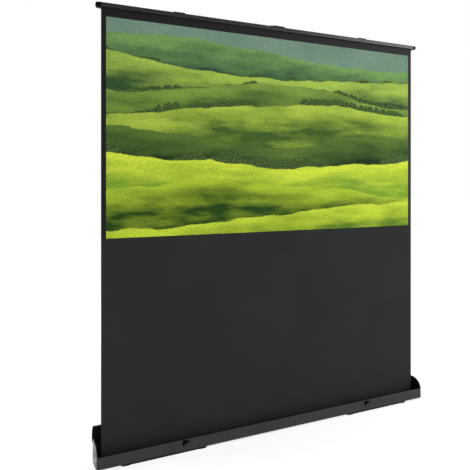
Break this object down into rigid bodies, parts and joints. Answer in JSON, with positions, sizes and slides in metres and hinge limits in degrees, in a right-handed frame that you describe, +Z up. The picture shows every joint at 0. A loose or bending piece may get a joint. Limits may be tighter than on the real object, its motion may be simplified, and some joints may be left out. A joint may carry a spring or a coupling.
{
  "type": "portable_projector_screen",
  "caption": "Floor-standing pull-up projector screen: a long case with a hinged lid, a spring roller, a black-bordered cloth and a flat top bar on folding scissor arms",
  "frame": {"origin": "on the floor, under the middle of the screen's bounding box", "axes": "+X to the right along the case, +Y from its front to its back, +Z up"},
  "size_m": [1.875, 0.1332, 2.075],
  "materials": {
    "black_metal": "satin_anodised",
    "bar_metal": "satin_anodised",
    "gloss_plastic": "gloss",
    "black_plastic": "matte",
    "nylon": "matte",
    "steel": "brushed",
    "painted_steel": "satin",
    "painted_aluminium": "satin_paint",
    "spring_steel": "satin",
    "tube_metal": "satin",
    "rubber": "matte",
    "cloth": "woven_matte",
    "picture": "coated_matte"
  },
  "bodies": {
    "case": {"case_trough": "black_metal", "end_cap_left": "gloss_plastic", "end_cap_right": "gloss_plastic", "screen_cloth": "cloth", "picture_surface": "picture", "roller_bracket_left": "steel", "roller_bracket_right": "steel", "spring_shaft": "steel", "spring_collar": "steel", "base_pivot_bracket": "steel", "base_pivot_pin": "steel", "base_rail": "steel", "latch_plate_left": "black_plastic", "latch_plate_right": "black_plastic", "latch_pin_left": "painted_steel", "latch_pin_right": "painted_steel", "foot_rivet_left": "steel", "foot_rivet_right": "steel"},
    "roller": {"roller_tube": "tube_metal", "rolled_cloth": "cloth", "roller_plug_left": "nylon", "roller_plug_right": "nylon", "roller_spring": "spring_steel"},
    "lid": {"lid_shell": "black_metal", "lid_keeper_left": "steel", "lid_keeper_right": "steel"},
    "arm_lower_front": {"lower_arm_front": "painted_aluminium", "cross_pin_lower": "steel", "elbow_pin_right": "steel"},
    "arm_lower_rear": {"lower_arm_rear": "painted_aluminium", "base_axle": "steel", "elbow_pin_left": "steel"},
    "arm_upper_front": {"upper_arm_front": "painted_aluminium", "cross_pin_upper": "steel", "top_axle": "steel"},
    "arm_upper_rear": {"upper_arm_rear": "painted_aluminium"},
    "bar": {"top_bar": "bar_metal", "bar_end_cap_left": "gloss_plastic", "bar_end_cap_right": "gloss_plastic", "hem_rod": "nylon", "bar_buffer_left": "rubber", "bar_buffer_right": "rubber", "handle_mount_left": "black_plastic", "handle_mount_right": "black_plastic", "top_pivot_pin": "steel", "top_pivot_block": "nylon"},
    "handle": {"handle_bail": "steel", "handle_sleeve": "rubber"},
    "wheel_base": {"base_wheel": "nylon"},
    "wheel_top": {"top_wheel": "nylon"},
    "hook_left": {"latch_lever_left": "gloss_plastic"},
    "hook_right": {"latch_lever_right": "gloss_plastic"},
    "foot_left": {"foot_left": "painted_steel", "foot_pad_left_inner": "rubber", "foot_pad_left_outer": "rubber"},
    "foot_right": {"foot_right": "painted_steel", "foot_pad_right_inner": "rubber", "foot_pad_right_outer": "rubber"}
  },
  "joints": [
    {"name": "fold", "type": "hinge", "parent": "case", "child": "arm_lower_front", "pos_m": [-0.458, -0.0004, 0.03], "axis": [0, 1, 0], "range_deg": [0, 47.24], "deforming": ["screen_cloth", "picture_surface"]},
    {"name": "lower_cross", "type": "hinge", "parent": "arm_lower_front", "child": "arm_lower_rear", "pos_m": [-0.00443, -0.0004, 0.53675], "axis": [0, 1, 0], "range_deg": [-94.48, 0]},
    {"name": "elbow_right", "type": "hinge", "parent": "arm_lower_front", "child": "arm_upper_rear", "pos_m": [0.44914, -0.0004, 1.0435], "axis": [0, 1, 0], "range_deg": [-94.48, 0]},
    {"name": "elbow_left", "type": "hinge", "parent": "arm_lower_rear", "child": "arm_upper_front", "pos_m": [-0.458, -0.0004, 1.0435], "axis": [0, 1, 0], "range_deg": [0, 94.48]},
    {"name": "top_pivot", "type": "hinge", "parent": "arm_upper_rear", "child": "bar", "pos_m": [-0.458, -0.0004, 2.057], "axis": [0, 1, 0], "range_deg": [0, 47.24]},
    {"name": "roller_spin", "type": "hinge", "parent": "case", "child": "roller", "pos_m": [0, -0.02693, 0.0316], "axis": [1, 0, 0], "range_deg": [-7091, 0]},
    {"name": "lid_swing", "type": "hinge", "parent": "case", "child": "lid", "pos_m": [0, 0.0316, 0.0805], "axis": [1, 0, 0], "range_deg": [0, 6.5]},
    {"name": "handle_lift", "type": "hinge", "parent": "bar", "child": "handle", "pos_m": [0, -0.0004, 2.0714], "axis": [-1, 0, 0], "range_deg": [0, 100]},
    {"name": "base_wheel_spin", "type": "hinge", "parent": "arm_lower_rear", "child": "wheel_base", "pos_m": [0.44914, 0.009, 0.03], "axis": [0, 1, 0], "continuous": true},
    {"name": "top_wheel_spin", "type": "hinge", "parent": "arm_upper_front", "child": "wheel_top", "pos_m": [0.44914, 0.009, 2.057], "axis": [0, 1, 0], "continuous": true},
    {"name": "hook_turn_left", "type": "hinge", "parent": "case", "child": "hook_left", "pos_m": [-0.533, -0.0604, 0.052], "axis": [0, -1, 0], "range_deg": [0, 90]},
    {"name": "hook_turn_right", "type": "hinge", "parent": "case", "child": "hook_right", "pos_m": [0.533, -0.0604, 0.052], "axis": [0, -1, 0], "range_deg": [0, 90]},
    {"name": "foot_turn_left", "type": "hinge", "parent": "case", "child": "foot_left", "pos_m": [-0.62, -0.0164, 0.00375], "axis": [0, 0, 1], "range_deg": [0, 90]},
    {"name": "foot_turn_right", "type": "hinge", "parent": "case", "child": "foot_right", "pos_m": [0.62, -0.0164, 0.00375], "axis": [0, 0, -1], "range_deg": [0, 90]}
  ],
  "couplings": [
    {"joint": "lower_cross", "follows": "fold", "ratio": -2},
    {"joint": "elbow_right", "follows": "fold", "ratio": -2},
    {"joint": "elbow_left", "follows": "fold", "ratio": 2},
    {"joint": "top_pivot", "follows": "fold", "ratio": 1},
    {"joint": "roller_spin", "follows": "fold", "ratio": -149.9}
  ]
}
